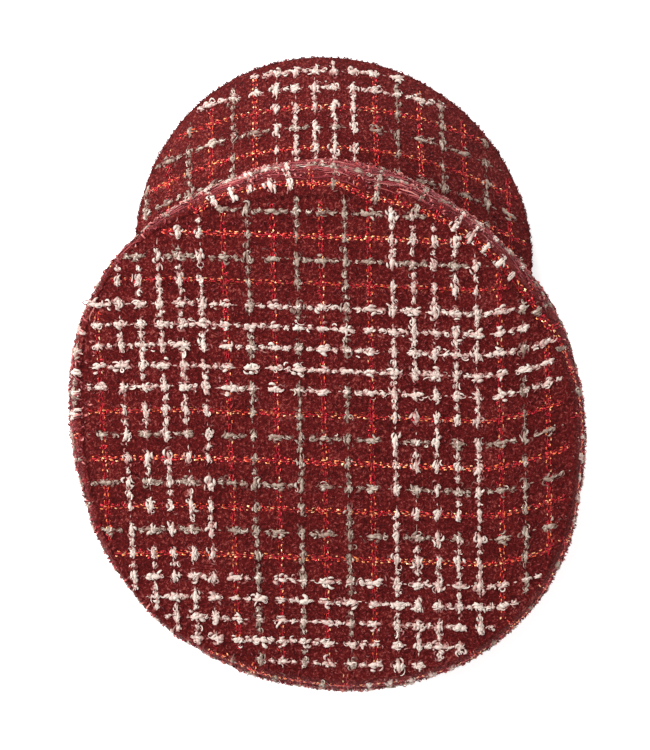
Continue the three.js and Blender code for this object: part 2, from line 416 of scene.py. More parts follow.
def float_curls(rng, floats, lay, curls, length, width, rise, radius):
    """Short thick curls of yarn heaped along each float, so that it is a fluffy knot."""
    steps, sides = 5, 3
    count = len(floats) * curls
    each = np.repeat(floats, curls, axis=0)
    size = each[:, 4:5]
    s = np.linspace(-1, 1, steps)[None]
    middle = rng.uniform(-0.36, 0.36, (count, 1)) * length * size
    taper = 1 - 0.7 * (2 * middle / (length * size)) ** 2
    heading = rng.normal(0, 0.55, (count, 1))
    part = 0.6 + 0.4 * size
    half = 0.16 * length * rng.uniform(0.7, 1.3, (count, 1)) * part
    bow = half * rng.normal(0, 0.45, (count, 1)) * (1 - s ** 2)
    along = middle + half * s * np.cos(heading) - bow * np.sin(heading)
    across = rng.normal(0, 0.27, (count, 1)) * width * size * taper
    across = across + half * s * np.sin(heading) + bow * np.cos(heading)
    up = rise * taper * rng.uniform(0.3, 1.0, (count, 1)) * (1 - 0.75 * s ** 2) * part - 0.1
    paths, _ = raised_along(each, lay, along, across, up)
    radii = radius * rng.uniform(0.65, 1.3, (count, 1)) * (1 - 0.5 * s ** 2) * size ** 0.5
    tone = np.repeat(rng.normal(0, 0.12, (len(floats), 1)), curls, axis=0) + rng.normal(0, 0.1, (count, 1))
    # Paler the higher a curl stands: painted shade low down, with random tones.
    return tubes(paths, radii, sides, 0.38 + 0.5 * up / rise + tone)


def boucle_loops(rng, floats, lay, loops, length, spread, ring, radius, rise):
    """Little open loops of boucle yarn that tumble over each other along a float and out of its sides."""
    steps = 8
    count = len(floats) * loops
    each = np.repeat(floats, loops, axis=0)
    size = each[:, 4:5]
    s = np.linspace(-1, 1, steps)
    turn = rng.uniform(0, 2 * pi, (count, 1)) + np.linspace(0, rng.uniform(0.8, 1.7, count) * pi, steps).T
    loop = ring * rng.uniform(0.45, 1.25, (count, 1)) * np.linspace(1, rng.uniform(0.6, 1.1, count), steps).T
    middle = rng.uniform(-0.5, 0.5, (count, 1)) * length * size
    taper = 1 - (2 * middle / (length * size)) ** 2 * 0.6
    along = middle + loop * np.cos(turn) + s / 2 * rng.normal(0, 1.2, (count, 1))
    across = rng.normal(0, spread, (count, 1)) * taper
    across = across + loop * rng.uniform(0.5, 1.1, (count, 1)) * np.sin(turn)
    tip = rng.uniform(0, 2 * pi, (count, 1))
    up = rise * taper * rng.uniform(0.35, 1.1, (count, 1)) + 0.45 * loop * np.sin(turn + tip)
    paths, normals = raised_along(each, lay, along, across, up)
    radii = radius * rng.uniform(0.7, 1.3, (count, 1)) * (1 - 0.35 * np.abs(s) ** 3)
    tone = np.repeat(rng.normal(0, 0.13, (len(floats), 1)), loops, axis=0) + rng.normal(0, 0.08, (count, 1))
    facing = normals + rng.normal(0, 0.45, (count, 1, 3))
    # Paler the higher a loop stands: painted shade low down, with random tones.
    return ribbons(paths, facing, radii, 0.42 + 0.4 * up / rise + tone)


def ground_loops(rng, places, lay, radius, size, height):
    """Small loops and fibre ends of the burgundy yarn that stand out of the cloth at places [n, 2]."""
    steps = 5
    count = len(places)
    s = np.linspace(-1, 1, steps)[None]
    heading = rng.uniform(0, 2 * pi, (count, 1))
    half = size * rng.uniform(0.5, 1.3, (count, 1))
    bow = half * rng.normal(0, 0.6, (count, 1)) * (1 - s ** 2)
    a = places[:, 0:1] + half * s * np.cos(heading) - bow * np.sin(heading)
    b = places[:, 1:2] + half * s * np.sin(heading) + bow * np.cos(heading)
    up = height * rng.uniform(0.35, 1.3, (count, 1)) * (1 - s ** 2) - 0.25
    paths, normals = raised(lay, a, b, up)
    radii = radius * rng.uniform(0.7, 1.2, (count, 1)) + 0 * s
    facing = normals + rng.normal(0, 0.4, (count, 1, 3))
    # Paler the higher a loop stands: painted shade where it dips into the cloth.
    return ribbons(paths, facing, radii, up / height)


HALO_TONE = 0.08                 # the halo has the darkest tones of its yarn, from here
HALO_TONES = 0.14                # and over this range


def float_halo(rng, floats, lay, loops, length):
    """Loose fibre round each knot, half lost in the burgundy, so that the knot has no hard outline."""
    each = np.repeat(floats, loops, axis=0)
    along = rng.normal(0, 0.3, len(each)) * length * each[:, 4]
    across = rng.normal(0, 1.3, len(each)) * each[:, 4]
    weft = each[:, 2] > 0
    places = np.stack([each[:, 0] + np.where(weft, along, across),
                       each[:, 1] + np.where(weft, across, along)], -1)
    points, faces, lift = ground_loops(rng, places, lay, radius=0.34, size=1.3, height=0.7)
    # Darker the lower a fibre lies: painted shade.
    return points, faces, HALO_TONE + HALO_TONES * lift


def running_strands(rng, runs, lay, strands, spread, radius, wave, rise, sink, step, flat=False):
    """Strands side by side along each run (fixed place, from, to, 1 for weft), in and out of the cloth.
    Flat ones are film instead of yarn."""
    parts = []
    for place, start, stop, weft in runs:
        steps = max(4, int((stop - start) / step))
        s = np.linspace(start, stop, steps)[None] + np.zeros((strands, 1))
        phase = rng.uniform(0, 2 * pi, (strands, 1))
        drift = np.cumsum(rng.normal(0, 0.5, s.shape), axis=1)
        lane = np.linspace(-spread, spread, strands)[:, None] if strands > 1 else np.zeros((1, 1))
        sideways = place + lane + 0.28 * np.sin(s * 2 * pi / (2.3 * wave) + phase * 2 + 0.5 * drift)
        up = rise * (np.sin(s * 2 * pi / wave + phase + drift) - sink)
        paths, normals = raised(lay, s, sideways, up) if weft else raised(lay, sideways, s, up)
        radii = radius * rng.uniform(0.8, 1.2, s.shape)
        # Paler where a strand rises out of the cloth, darker where it dips in: painted shade and painted
        # highlight; on lurex, painted glint.
        lift = 0.45 + 0.3 * up / rise
        if flat:
            parts.append(ribbons(paths, normals + rng.normal(0, 0.35, (strands, 1, 3)), radii, lift))
        else:
            parts.append(tubes(paths, radii, 3, lift))
    return join(parts)


def brushed_fibres(rng, places, lay, length, radius, height):
    """Long fibre ends brushed one way, along the first coordinate of the cloth, that lie just over it."""
    steps = 6
    count = len(places)
    s = np.linspace(-1, 1, steps)[None]
    half = length / 2 * rng.uniform(0.5, 1.4, (count, 1))
    a = places[:, 0:1] + half * s
    slant = half * s * rng.normal(0, 0.05, (count, 1))
    b = places[:, 1:2] + slant + 0.5 * wander(rng, count, s, (1, 3), (3, 5))
    up = height * rng.uniform(0.3, 1.2, (count, 1)) * (1 - 0.8 * s ** 2)
    paths, normals = raised(lay, a, b, up)
    radii = radius * rng.uniform(0.6, 1.3, (count, 1)) * (1 - 0.5 * s ** 2)
    facing = normals + rng.normal(0, 0.4, (count, 1, 3))
    return ribbons(paths, facing, radii, 0.45 + rng.normal(0, 0.2, (count, 1)) + 0 * s)


def join(parts):
    """Joins (points, faces, numbers) of several meshes into one."""
    start = np.cumsum([0] + [len(p[0]) for p in parts[:-1]])
    faces = np.concatenate([p[1] + n for p, n in zip(parts, start)])
    return np.concatenate([p[0] for p in parts]), faces, np.concatenate([p[2] for p in parts])


def strand_object(name, strands, material):
    points, faces, lift = strands
    return mesh_object(name, points, faces, material, {"lift": lift})


def yarn_material(name, stops, roughness, fuzz, grain, sheen):
    """A yarn that is paler on top and darker and redder where it dives: painted shade and bounced light,
    partly burgundy fibre over it; with a fibre grain in mm.
    """
    material, shader = new_material(name, Roughness=roughness, IOR=1.45, Specular_IOR_Level=0.25,
                                    Sheen_Weight=sheen, Sheen_Roughness=0.5)
    lift = add_node(material, "ShaderNodeAttribute", attribute_name="lift")
    place = add_node(material, "ShaderNodeTexCoord").outputs["Object"]
    hairs = add_node(material, "ShaderNodeTexNoise", [("Vector", place)],
                     inputs={"Scale": 1 / (grain * MM), "Detail": 3.0, "Roughness": 0.7})
    spread = add_node(material, "ShaderNodeMath", [(0, hairs.outputs["Fac"])], operation="MULTIPLY_ADD",
                      inputs={1: fuzz, 2: -fuzz / 2})
    total = add_node(material, "ShaderNodeMath", [(0, lift.outputs["Fac"]), (1, spread.outputs[0])],
                     operation="ADD")
    ramp = add_node(material, "ShaderNodeValToRGB", [("Fac", total.outputs[0])])
    set_ramp(ramp, stops)
    bump = add_node(material, "ShaderNodeBump", [("Height", hairs.outputs["Fac"])],
                    inputs={"Strength": 0.6, "Distance": 0.3 * MM})
    material.node_tree.links.new(ramp.outputs["Color"], shader.inputs["Base Color"])
    material.node_tree.links.new(bump.outputs["Normal"], shader.inputs["Normal"])
    return material


# White wool boucle, spun in loose knots: matt and bright, pinkish where burgundy fibre shows through it, and
# darker and redder low down: painted shade.
white = yarn_material(
    "white wool boucle, spun", ((0.05, "#7A2F2F"), (0.3, "#B08078"), (0.55, "#CBB4AA"), (0.95, "#D8CABE")),
    roughness=0.9, fuzz=0.5, grain=0.8, sheen=0.15)
# Grey wool boucle with an olive cast: darker and thinner than the white, so it half sinks into the ground;
# darker low down: painted shade.
grey = yarn_material(
    "grey wool boucle, spun", ((0.05, "#5A2623"), (0.3, "#7C5A50"), (0.6, "#947F71"), (0.95, "#C6B5A7")),
    roughness=0.92, fuzz=0.6, grain=0.8, sheen=0.15)
# Lurex: flat film with a metal layer under orange-red lacquer, slit and wound on a crimson core.
# Its flecks of about 1 mm go from red to pale gold: partly the film's own colours, partly painted glints,
# paler where the film rises.
FLECK = 1.2                      # mm
lurex, shader = new_material("orange lurex film, slit and wound", Metallic=0.6, Roughness=0.32)
place = add_node(lurex, "ShaderNodeTexCoord").outputs["Object"]
flecks = add_node(lurex, "ShaderNodeTexVoronoi", [("Vector", place)], inputs={"Scale": 1 / (FLECK * MM)})
film_lift = add_node(lurex, "ShaderNodeAttribute", attribute_name="lift")
flash = add_node(lurex, "ShaderNodeMath", [(0, film_lift.outputs["Fac"]), (2, flecks.outputs["Color"])],
                 operation="MULTIPLY_ADD", inputs={1: 0.2})
fleck_colour = add_node(lurex, "ShaderNodeValToRGB", [("Fac", flash.outputs[0])])
set_ramp(fleck_colour, ((0.42, "#A81226"), (0.6, "#D0302C"), (0.72, "#EE643A"), (0.83, "#FF9A58"),
                        (0.94, "#FFCF98")))
lurex.node_tree.links.new(fleck_colour.outputs["Color"], shader.inputs["Base Color"])
# Burgundy wool: the loops and fibre ends that stand out of the cloth, matt, darker low down and paler the
# higher they stand: painted shade and painted highlight.
fuzz = yarn_material(
    "burgundy wool fibre ends, spun", ((0.0, "#440A0C"), (0.5, "#621619"), (0.95, "#84363A")),
    roughness=0.95, fuzz=0.6, grain=1.2, sheen=0.08)
# Raspberry wool: the ground yarn's own fibre, pulled out and brushed flat, coloured paler and pinker than
# the ground: painted sheen where the roll and the rim curve away.
brushed = yarn_material(
    "raspberry wool fibre, brushed, painted sheen", ((0.0, "#661820"), (0.45, "#8E3238"), (0.95, "#CC8078")),
    roughness=0.95, fuzz=0.4, grain=1.0, sheen=0.12)

TIP_FIRST_WARP = 56.8            # first white warp thread, across from the middle
TIP_FIRST_WEFT = -29.7           # first white weft thread, back from the band's middle
WEFT_SLOPE = 0.055               # the cloth was cut with its weft turned this much, in mm per mm
TURNED_IN = 70.0                 # past this the weft bends down over the crown's right side,
TURNED_BY = 11.0                 # by this much in the first TURNED_OVER
TURNED_OVER = 40
WARP_LEAN = 0.034                # the warp on the left leans this much, fully past LEAN_FULL
LEAN_FROM = 10
LEAN_FULL = 80
LEAN_LEVEL = -15                 # where it doesn't move
TIP_YARN_FROM = 0.35             # mm from the panel's edge to the first crossing that shows


def tip_lay(a, b):
    """Points and normals on the top panel for places (across, along) of its check."""
    x = a - WARP_LEAN * np.clip((a - LEAN_FROM) / (LEAN_FULL - LEAN_FROM), 0, 1) * (b - LEAN_LEVEL)
    bend = TURNED_BY * np.clip((-a - TURNED_IN) / TURNED_OVER, 0, 2) ** 1.5
    y = b - WEFT_SLOPE * np.clip(a, -200, 70) - bend
    points = tip_surface(x, y)
    _, seam, share = tip_place(x, y)
    slope_x = 2 * TIP_DOME * x / seam ** 2
    slope_y = 2 * TIP_DOME * (y - CROWN_BACK_SHIFT) / seam ** 2 + tan(CROWN_BACK_SLOPE)
    normal = unit(np.stack([slope_x, slope_y, np.ones_like(x)], -1))
    fade = 1 - np.clip(share, 0, 1) ** 8
    points[..., 2] += TIP_UNEVEN * smooth_noise(points, TIP_SWELL, TIP_SEED) * fade
    return points + normal * CLOTH / 2, normal


def tip_inside(a, b):
    points, _ = tip_lay(np.array([float(a)]), np.array([float(b)]))
    _, seam, share = tip_place(points[0, 0], points[0, 1])
    return (1 - share) * seam > TIP_YARN_FROM


def thread_runs(warp, weft, inside, wanted, step=3.0):
    """Stretches of one kind of thread that are inside the panel: (place, from, to, 1 for weft)."""
    runs = []
    for threads, is_weft, others in ((warp, 0, weft), (weft, 1, warp)):
        low, high = min(t[2] for t in others) - 6, max(t[2] for t in others) + 6
        for _, kind, place in threads:
            if kind != wanted:
                continue
            start = None
            for s in np.arange(low, high + step, step):
                here = inside(s, place) if is_weft else inside(place, s)
                if here and start is None:
                    start = s
                elif not here and start is not None:
                    if s - start > 2 * step:
                        runs.append((place, start, s - step, is_weft))
                    start = None
    return runs


# A full knot of each yarn: its length, width and rise, and the radius of its curls and of its loops.
KNOTS = ((WHITE, "white_yarn", white, 7.6, 4.4, 1.2, 0.7, 0.3),
         (GREY, "grey_yarn", grey, 7.0, 4.2, 0.9, 0.6, 0.27))
LARGE_KNOT = 0.72                # share of the full size
CORE_SIZE = 1.6                  # a knot's lumpy middle, times the radius of its curls
HAIR_RADIUS = 0.16               # single fibres that stand off the yarn
# Lurex: 1 for weft, strips of film, how far they sink in, strands of core. The weft lies higher.
LUREX_MAKE = ((0, 2, 0.2, 2), (1, 3, 0.1, 1))
CORE_TONE = -1.5                 # dark enough for the ramp's crimson


def core_fibre_places(rng, run, gap=1.3, spread=0.75):
    """Places for the loose crimson fibre of the core along one run of lurex."""
    place, start, stop, is_weft = run
    count = int((stop - start) / gap)
    along, beside = rng.uniform(start, stop, count), rng.normal(place, spread, count)
    return np.stack([along, beside] if is_weft else [beside, along], -1)


def scattered(rng, low, high, count, inside):
    """Random places of a panel's check, for the loops of its ground."""
    return np.array([p for p in rng.uniform(low, high, (count, 2)) if inside(*p)])


def dress(name, warp, weft, inside, lay, loop_places, fine, seed):
    """The yarns that stand out of one panel's cloth, a mesh for each kind of yarn.
    fine says which floats face the eye. The others are made of fewer strands."""
    rng = np.random.default_rng(seed)
    pieces = []
    floats = check_floats(warp, weft, inside)
    knots = between_knots(rng, warp, weft, inside)
    floats = np.concatenate([floats, knots[fine(knots)]])
    floats[:, 4] *= rng.uniform(0.8, 1.2, len(floats))
    faced = fine(floats)
    large = floats[:, 4] > LARGE_KNOT
    for kind, label, material, length, width, rise, curl_radius, loop_radius in KNOTS:
        mine = floats[:, 3] == kind
        parts = []
        # Large knots, small ones and those that face away, with how many strands of each sort they get.
        for chosen, curls, loops, halo, hairs in ((mine & faced & large, 7, 3, 5, 1),
                                                  (mine & faced & ~large, 3, 2, 5, 0),
                                                  (mine & ~faced, 3, 1, 0, 0)):
            here = floats[chosen]
            if not len(here):
                continue
            parts += [float_cores(rng, here, lay, length, CORE_SIZE * curl_radius),
                      float_curls(rng, here, lay, curls, length, width, rise, curl_radius),
                      boucle_loops(rng, here, lay, loops, 0.85 * length, spread=1.0, ring=0.75,
                                   radius=loop_radius, rise=rise)]
            if halo:
                parts.append(float_halo(rng, here, lay, halo, length))
            if hairs:
                parts.append(boucle_loops(rng, here, lay, hairs, length, spread=1.3, ring=1.2,
                                          radius=HAIR_RADIUS, rise=rise))
        runs = thread_runs(warp, weft, inside, "WG"[kind])
        parts.append(running_strands(rng, runs, lay, strands=1, spread=0, radius=0.34, wave=5.5, rise=0.6,
                                     sink=0.7, step=2.2))
        pieces.append(strand_object(name + "_" + label, join(parts), material))
    lurex_runs = thread_runs(warp, weft, inside, "O")
    films, cores = [], []
    for is_weft, strips, sink, core_strands in LUREX_MAKE:
        along = [run for run in lurex_runs if run[3] == is_weft]
        if along:
            films.append(running_strands(rng, along, lay, strips, spread=0.9, radius=0.25, wave=3.0,
                                         rise=0.6, sink=sink, step=0.75, flat=True))
            cores.append(running_strands(rng, along, lay, core_strands, spread=0.5, radius=0.36, wave=4.5,
                                         rise=0.45, sink=0.5, step=2.1))
            places = np.concatenate([core_fibre_places(rng, run) for run in along])
            cores.append(ground_loops(rng, places, lay, radius=0.26, size=0.9, height=0.5))
    points, faces, _ = join(cores)
    films.append((points, faces, np.full(len(points), CORE_TONE)))
    pieces.append(strand_object(name + "_lurex", join(films), lurex))
    ends = ground_loops(rng, loop_places, lay, radius=0.26, size=1.1, height=0.9)
    pieces.append(strand_object(name + "_fibre_ends", ends, fuzz))
    return pieces


tip_warp = check_threads(TIP_FIRST_WARP, -125, 125)
tip_weft = check_threads(TIP_FIRST_WEFT, -110, 165)
rng = np.random.default_rng(11)
scatter = scattered(rng, (-120, -105), (120, 160), 3900, tip_inside)
crown_top_yarns = dress("crown_top", tip_warp, tip_weft, tip_inside, tip_lay, scatter,
                        lambda floats: np.full(len(floats), True), seed=21)
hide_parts("crown_top")
for piece in [crown_top, *crown_top_yarns]:
    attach(piece, "root")

# Crown side: one long panel sewn round the top panel, rolled over the rim and tucked in to the head band.
# Its cloth is full and soft, so it hangs in a roll below the rim before it turns in.
RIM_MEAN = 122.3
RIM_WAVES = ((1, -1.2, -0.3), (2, 1.5, 3.7), (3, 0.3, -0.5), (4, -0.3, -0.2), (5, 0.9, -0.2),
             (6, 0.5, -0.3))
ROLL_FRONT_DROP = 26             # the rim lies this far below the top panel
ROLL_BACK_DROP = 30
ROLL_SOFTNESS = 0.6              # how round the cloth goes over to the rim
ROLL_SAG = 0.9                   # and how full it hangs below it
ROLL_LEAST_FALL = 24
TUCK = 0.55                      # how level it comes in to the band, a share of the way there
LEAST_TUCK = 9
BAND_HALF_WIDTH = 81
BAND_HALF_LENGTH = 96
BAND_WALL = 3
BAND_HEIGHT = 24
BAND_LIFT = 32                   # the peak holds the band's front this high,
BAND_BEND = 1.25
BAND_FLAT_FROM = 62              # and it lies flat behind this
RIM_AT = 0.4
SIDE_AROUND = 260                # steps of the mesh
SIDE_ACROSS = 40
SIDE_INNER_ACROSS = 12


def band_floor(y):
    share = np.clip((BAND_FLAT_FROM - y) / (BAND_FLAT_FROM + BAND_HALF_LENGTH + BAND_WALL), 0, None)
    return BAND_LIFT * share ** BAND_BEND


def band_point(angle, outside, height):
    """A point on an oval this far outside the head opening, this high over the band's lower edge."""
    x = (BAND_HALF_WIDTH + outside) * np.sin(angle)
    y = -(BAND_HALF_LENGTH + outside) * np.cos(angle)
    return np.stack([x, y, band_floor(y) + height], -1)


def mix(first, second, share):
    return first + (second - first) * share


def bezier(p0, p1, p2, p3, t):
    t = t[..., None]
    return p0 * (1 - t) ** 3 + 3 * p1 * t * (1 - t) ** 2 + 3 * p2 * t ** 2 * (1 - t) + p3 * t ** 3


def side_surface(angle, t):
    """Middle of the side panel's cloth. t is 0 at the top panel's seam, RIM_AT at the rim, 1 at the band."""
    seam = crown_point(angle, outline_radius(SEAM_MEAN, SEAM_WAVES, angle), 0 * angle)
    seam[..., 2] = top_plane_height(seam[..., 1])
    rim = crown_point(angle, outline_radius(RIM_MEAN, RIM_WAVES, angle), 0 * angle)
    front = (1 + np.cos(angle)) / 2
    rim[..., 2] = top_plane_height(rim[..., 1]) - mix(ROLL_BACK_DROP, ROLL_FRONT_DROP, front)
    outward = np.stack([np.sin(angle), -np.cos(angle), 0 * angle], -1)
    inset = (outward * (rim - seam)).sum(-1, keepdims=True)
    over_leave = seam + outward * inset * ROLL_SOFTNESS
    over_arrive = rim.copy()
    over_arrive[..., 2] = mix(rim[..., 2], seam[..., 2], ROLL_SOFTNESS)
    over = bezier(seam, over_leave, over_arrive, rim, np.clip(t / RIM_AT, 0, 1))
    band_angle = np.arctan2(rim[..., 0] / BAND_HALF_WIDTH, -rim[..., 1] / BAND_HALF_LENGTH)
    seat = BAND_HEIGHT + SEAM_GAP + CLOTH / 2
    end = band_point(band_angle, 0, seat)
    reach = np.hypot(rim[..., 0] - end[..., 0], rim[..., 1] - end[..., 1])
    leave = rim.copy()
    leave[..., 2] -= np.maximum(rim[..., 2] - end[..., 2], ROLL_LEAST_FALL) * ROLL_SAG
    arrive = band_point(band_angle, np.maximum(reach * TUCK, LEAST_TUCK), seat)
    under = bezier(rim, leave, arrive, end, np.clip((t - RIM_AT) / (1 - RIM_AT), 0, 1))
    return np.where((t <= RIM_AT)[..., None], over, under)


RING_RADIUS = 6 * REPEAT / (2 * pi)      # six repeats of the check go once round the side panel
half_round = pi * RING_RADIUS
SIDE_FIRST_WARP = 16.9
SIDE_FIRST_WEFT = 39.3
SIDE_UNEVEN = 0.5                # mm, in swells of SIDE_SWELL
SIDE_SWELL = 30
SIDE_SEED = 5
SIDE_SEEN = 27                   # down to here from the seam the roll faces up or out, mm
TABLE_ANGLES = 240
TABLE_STEPS = 90
SIDE_LENGTH = 100                # more than the panel's real width everywhere, mm
table_angle, table_t = np.meshgrid(np.linspace(0, 2 * pi, TABLE_ANGLES, endpoint=False),
                                   np.linspace(0, 1, TABLE_STEPS), indexing="ij")
table_points = side_surface(table_angle, table_t)
table_length = np.concatenate([np.zeros((TABLE_ANGLES, 1)), np.cumsum(np.linalg.norm(
    np.diff(table_points, axis=1), axis=-1), axis=1)], axis=1)
side_width = table_length[:, -1]
table_inverse = np.stack([np.interp(np.arange(SIDE_LENGTH + 1), table_length[i], table_t[i])
                          for i in range(TABLE_ANGLES)])


# The panel was cut so that its weft doesn't run level with the seam: (place round, nearer to it by), mm.
SIDE_WEFT_SHIFT = ((-340, 0), (-165, 0), (-130, 5), (-22, 5.5), (-6, 0.5), (28, 0.5), (50, 2), (65, 6),
                   (95, 9), (136, 9), (147, 15.5), (178, 15.5), (190, 9), (300, 9), (350, 0.5))


def side_down(a, b):
    """Distance down from the seam of a place of the check."""
    places, shifts = zip(*SIDE_WEFT_SHIFT)
    return b - np.interp(a, places, shifts)


def side_raised(angle, t):
    """The panel with its soft unevenness and the dip at the seam."""
    points = side_surface(angle, t)
    swell = np.clip(t / 0.12, 0, 1) * np.clip((1 - t) / 0.12, 0, 1)
    outward = np.stack([np.sin(angle), -np.cos(angle), 0.6 + 0 * angle], -1)
    points += outward * (SIDE_UNEVEN * smooth_noise(points, SIDE_SWELL, SIDE_SEED) * swell)[..., None]
    points[..., 2] -= seam_dip(angle) * np.exp(-((t / 0.03) ** 2))
    return points


def side_lay(a, b):
    """Points and normals on the side panel for places (round, down from the seam) of its check."""
    angle = a / RING_RADIUS
    row = (angle / (2 * pi) * TABLE_ANGLES) % TABLE_ANGLES
    low = row.astype(int) % TABLE_ANGLES
    part = row - np.floor(row)
    wanted = side_down(a, b)
    down = np.clip(wanted, 0, SIDE_LENGTH - 1.001)
    step = down.astype(int)
    rest = down - step
    near = mix(table_inverse[low, step], table_inverse[low, step + 1], rest)
    after = (low + 1) % TABLE_ANGLES
    far = mix(table_inverse[after, step], table_inverse[after, step + 1], rest)
    t = mix(near, far, part)
    points = side_raised(angle, t)
    beside = 2e-3
    along = side_raised(angle + beside, t) - side_raised(angle - beside, t)
    across = side_raised(angle, np.clip(t + beside, 0, 1)) - side_raised(angle, np.clip(t - beside, 0, 1))
    normal = unit(np.cross(across, along))
    over_seam = np.minimum(wanted, 0)[..., None] * unit(across)
    return points + over_seam + normal * CLOTH / 2, normal


SIDE_YARN_FROM = 0.4             # mm from the seam to the first crossing that shows,
SIDE_YARN_TO = 6                 # and from the last one to the band


def side_inside(a, b):
    width = side_width[int((a / RING_RADIUS / (2 * pi) * TABLE_ANGLES) % TABLE_ANGLES)]
    return SIDE_YARN_FROM < side_down(a, b) < width - SIDE_YARN_TO and -half_round <= a < half_round


NAP_SHEEN_MIDDLE = 0.26                # where across the panel the painted sheen is strongest, as t
NAP_SHEEN_WIDTH = 0.11
NAP_SHEEN_REACH = 1.0                  # radians from the front
NAP_SHEEN_MOST = 0.5
NAP_SHEEN_LEAST = 0.6                  # of that, away from the front


def side_nap_sheen(angle, t):
    """How much painted sheen the side panel's colour gets: most along the front of its roll, where it curves
    away.
    """
    from_front = np.angle(np.exp(1j * angle))
    reach = NAP_SHEEN_LEAST + (1 - NAP_SHEEN_LEAST) * np.exp(-((from_front / NAP_SHEEN_REACH) ** 4))
    return NAP_SHEEN_MOST * reach * np.exp(-(((t - NAP_SHEEN_MIDDLE) / NAP_SHEEN_WIDTH) ** 2))


def ring_of_cloth(name, surface, around, across, inner_across, thickness, material, nap_sheen=None):
    """A closed ring of cloth of real thickness round a surface(angle, t).
    Its last argument, a function of (angle, t), says where its colour gets painted sheen."""
    rings = []
    painted_sheen = []
    for steps, side in ((across, 1), (inner_across, -1)):
        t, angle = np.meshgrid(np.linspace(0, 1, steps + 1), np.linspace(0, 2 * pi, around, endpoint=False),
                               indexing="ij")
        middle = surface(angle, t)
        layer = middle + side * surface_normals(middle, closed=True) * thickness / 2
        rings.append(layer if side > 0 else layer[::-1])
        painted_sheen.append(nap_sheen(angle, t) if nap_sheen and side > 0 else 0 * t)
    points = np.concatenate([*rings, rings[0][:1]])
    rows = len(points) - 1
    faces = grid_faces(rows, around, closed=True)
    last = np.arange(around) + (rows - 1) * around
    first = np.arange(around)
    closing = np.stack([last, np.roll(last, -1), np.roll(first, -1), first], -1)
    return mesh_object(name, points[:rows].reshape(-1, 3), np.concatenate([faces, closing]), material,
                       {"nap_sheen": np.concatenate(painted_sheen)})


crown_side = ring_of_cloth("crown_side_cloth", side_raised, SIDE_AROUND, SIDE_ACROSS, SIDE_INNER_ACROSS,
                           CLOTH, burgundy, side_nap_sheen)
side_warp = check_threads(SIDE_FIRST_WARP, -half_round, half_round - 1e-6)
side_weft = check_threads(SIDE_FIRST_WEFT, 0, SIDE_LENGTH)
scatter = scattered(rng, (-half_round, 0), (half_round, 60), 3300, side_inside)
crown_side_yarns = dress("crown_side", side_warp, side_weft, side_inside, side_lay, scatter,
                         lambda floats: side_down(floats[:, 0], floats[:, 1]) < SIDE_SEEN, seed=31)
# Fibre brushed along the front of the roll, most of it in the middle, in the paler raspberry of painted
# sheen.
MIDDLE_FIBRES, OTHER_FIBRES, WISPS_AND_HIGHLIGHT, RIM_LOOPS = 330, 90, 55, 2200
nap_places = np.concatenate([
    np.stack([rng.normal(0, 75, MIDDLE_FIBRES), rng.normal(19, 4.5, MIDDLE_FIBRES)], -1),
    np.stack([rng.uniform(-150, 130, OTHER_FIBRES), rng.normal(20, 4, OTHER_FIBRES)], -1)])
nap_fibres = brushed_fibres(rng, nap_places, side_lay, length=13, radius=0.3, height=0.6)
# White fibre pulled out along the left of the roll, which also stands in for the highlight along its crease:
# partly painted highlight.
wisp_and_highlight_places = np.stack([rng.normal(60, 32, WISPS_AND_HIGHLIGHT), rng.normal(21, 2.2, WISPS_AND_HIGHLIGHT)], -1)
wisps_and_crease_highlight = brushed_fibres(rng, wisp_and_highlight_places, side_lay, length=9, radius=0.26, height=0.7)
# Loops that make the rim's outline soft, in the paler raspberry of painted sheen at the rim.
rim_places = rng.uniform((-half_round, 9), (half_round, 36), (RIM_LOOPS, 2))
rim_loops = ground_loops(rng, rim_places, side_lay, radius=0.4, size=1.3, height=1.4)
crown_side_yarns += [strand_object("crown_side_brushed_fibres", nap_fibres, brushed),
                     strand_object("crown_side_white_wisps_and_crease_highlight", wisps_and_crease_highlight, white),
                     strand_object("crown_side_rim_loops", rim_loops, brushed)]
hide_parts("crown_side")
for piece in [crown_side, *crown_side_yarns]:
    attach(piece, "root")

# Head band: a straight strip of the same tweed round the head opening, folded over at its lower edge.
# The crown's side is sewn to its upper edge, and the peak to its front.
PEAK_ROOT_HALF = radians(80)     # the peak is sewn on this far to each side of the front
BAND_AROUND = 220
BAND_ACROSS = 10


def band_surface(angle, t):
    """Middle of the band's cloth. t is 0 at its upper edge and 1 at its lower one."""
    return band_point(angle, BAND_WALL / 2, BAND_HEIGHT * (1 - t))


BAND_FIRST_WARP = 10.0
BAND_FIRST_WEFT = -31.0
BAND_RING = 4.5 * REPEAT / (2 * pi)      # the check goes round four and a half times
BAND_YARN_FROM = 2               # mm from an edge to the first crossing that shows,
BAND_OVER_PEAK = 11              # and over the peak's root


def band_lay(a, b):
    """Points and normals on the band's outside for places (round, up from its lower edge) of its check."""
    angle = a / BAND_RING
    points = band_point(angle, BAND_WALL, np.clip(b, 0, BAND_HEIGHT))
    normal = np.stack([np.sin(angle) * BAND_HALF_LENGTH, -np.cos(angle) * BAND_HALF_WIDTH, 0 * angle], -1)
    return points, unit(normal)


def band_inside(a, b):
    """The band's outside, but for the stretch that the peak's root covers."""
    at_front = abs((a / BAND_RING + pi) % (2 * pi) - pi) < PEAK_ROOT_HALF
    least = BAND_OVER_PEAK if at_front else BAND_YARN_FROM
    return abs(a) <= pi * BAND_RING and least < b < BAND_HEIGHT - BAND_YARN_FROM


